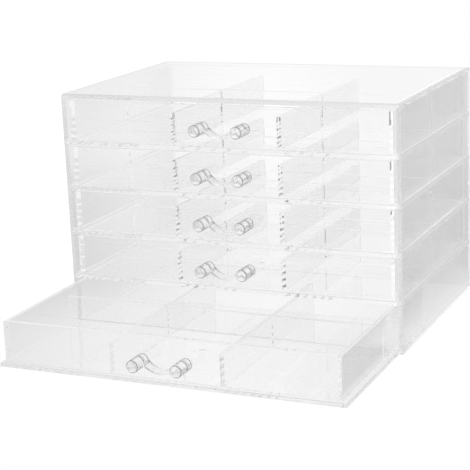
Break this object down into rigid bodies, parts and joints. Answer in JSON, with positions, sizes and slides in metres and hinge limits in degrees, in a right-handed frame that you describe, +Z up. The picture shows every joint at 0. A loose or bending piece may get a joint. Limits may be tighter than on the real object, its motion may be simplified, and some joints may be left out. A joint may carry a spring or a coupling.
{
  "type": "jewelry box with drawers",
  "caption": "Clear acrylic jewellery cabinet with divided drawers that slide in grooves in its sides, each with a post handle.",
  "frame": {"origin": "middle of the cabinet's footprint, on the surface that it stands on", "axes": "+Z up, -Y towards the drawer fronts, X across the box"},
  "size_m": [0.236, 0.2692, 0.159],
  "materials": {
    "case_acrylic": "clear, polished",
    "drawer_acrylic": "clear, polished",
    "handle_acrylic": "clear, moulded"
  },
  "bodies": {
    "cabinet": {"cabinet_top": "case_acrylic", "cabinet_left_side": "case_acrylic", "cabinet_right_side": "case_acrylic", "cabinet_back": "case_acrylic", "cabinet_bottom": "case_acrylic"},
    "drawer_1": {"drawer_1_base": "drawer_acrylic", "drawer_1_front": "drawer_acrylic", "drawer_1_back": "drawer_acrylic", "drawer_1_left_wall": "drawer_acrylic", "drawer_1_right_wall": "drawer_acrylic", "drawer_1_left_partition": "drawer_acrylic", "drawer_1_right_partition": "drawer_acrylic", "drawer_1_cross_partition": "drawer_acrylic", "drawer_1_handle": "handle_acrylic"},
    "drawer_2": {"drawer_2_base": "drawer_acrylic", "drawer_2_front": "drawer_acrylic", "drawer_2_back": "drawer_acrylic", "drawer_2_left_wall": "drawer_acrylic", "drawer_2_right_wall": "drawer_acrylic", "drawer_2_left_partition": "drawer_acrylic", "drawer_2_right_partition": "drawer_acrylic", "drawer_2_cross_partition": "drawer_acrylic", "drawer_2_handle": "handle_acrylic"},
    "drawer_3": {"drawer_3_base": "drawer_acrylic", "drawer_3_front": "drawer_acrylic", "drawer_3_back": "drawer_acrylic", "drawer_3_left_wall": "drawer_acrylic", "drawer_3_right_wall": "drawer_acrylic", "drawer_3_left_partition": "drawer_acrylic", "drawer_3_right_partition": "drawer_acrylic", "drawer_3_cross_partition": "drawer_acrylic", "drawer_3_handle": "handle_acrylic"},
    "drawer_4": {"drawer_4_base": "drawer_acrylic", "drawer_4_front": "drawer_acrylic", "drawer_4_back": "drawer_acrylic", "drawer_4_left_wall": "drawer_acrylic", "drawer_4_right_wall": "drawer_acrylic", "drawer_4_left_partition": "drawer_acrylic", "drawer_4_right_partition": "drawer_acrylic", "drawer_4_cross_partition": "drawer_acrylic", "drawer_4_handle": "handle_acrylic"},
    "drawer_5": {"drawer_5_base": "drawer_acrylic", "drawer_5_front": "drawer_acrylic", "drawer_5_back": "drawer_acrylic", "drawer_5_left_wall": "drawer_acrylic", "drawer_5_right_wall": "drawer_acrylic", "drawer_5_left_partition": "drawer_acrylic", "drawer_5_right_partition": "drawer_acrylic", "drawer_5_cross_partition": "drawer_acrylic", "drawer_5_handle": "handle_acrylic"}
  },
  "joints": [
    {"name": "drawer_1_slide", "type": "slide", "parent": "cabinet", "child": "drawer_1", "axis": [0, -1, 0], "range_m": [0, 0.12]},
    {"name": "drawer_2_slide", "type": "slide", "parent": "cabinet", "child": "drawer_2", "axis": [0, -1, 0], "range_m": [0, 0.12]},
    {"name": "drawer_3_slide", "type": "slide", "parent": "cabinet", "child": "drawer_3", "axis": [0, -1, 0], "range_m": [0, 0.12]},
    {"name": "drawer_4_slide", "type": "slide", "parent": "cabinet", "child": "drawer_4", "axis": [0, -1, 0], "range_m": [0, 0.12]},
    {"name": "drawer_5_slide", "type": "slide", "parent": "cabinet", "child": "drawer_5", "axis": [0, -1, 0], "range_m": [-0.0984, 0.0216]}
  ]
}
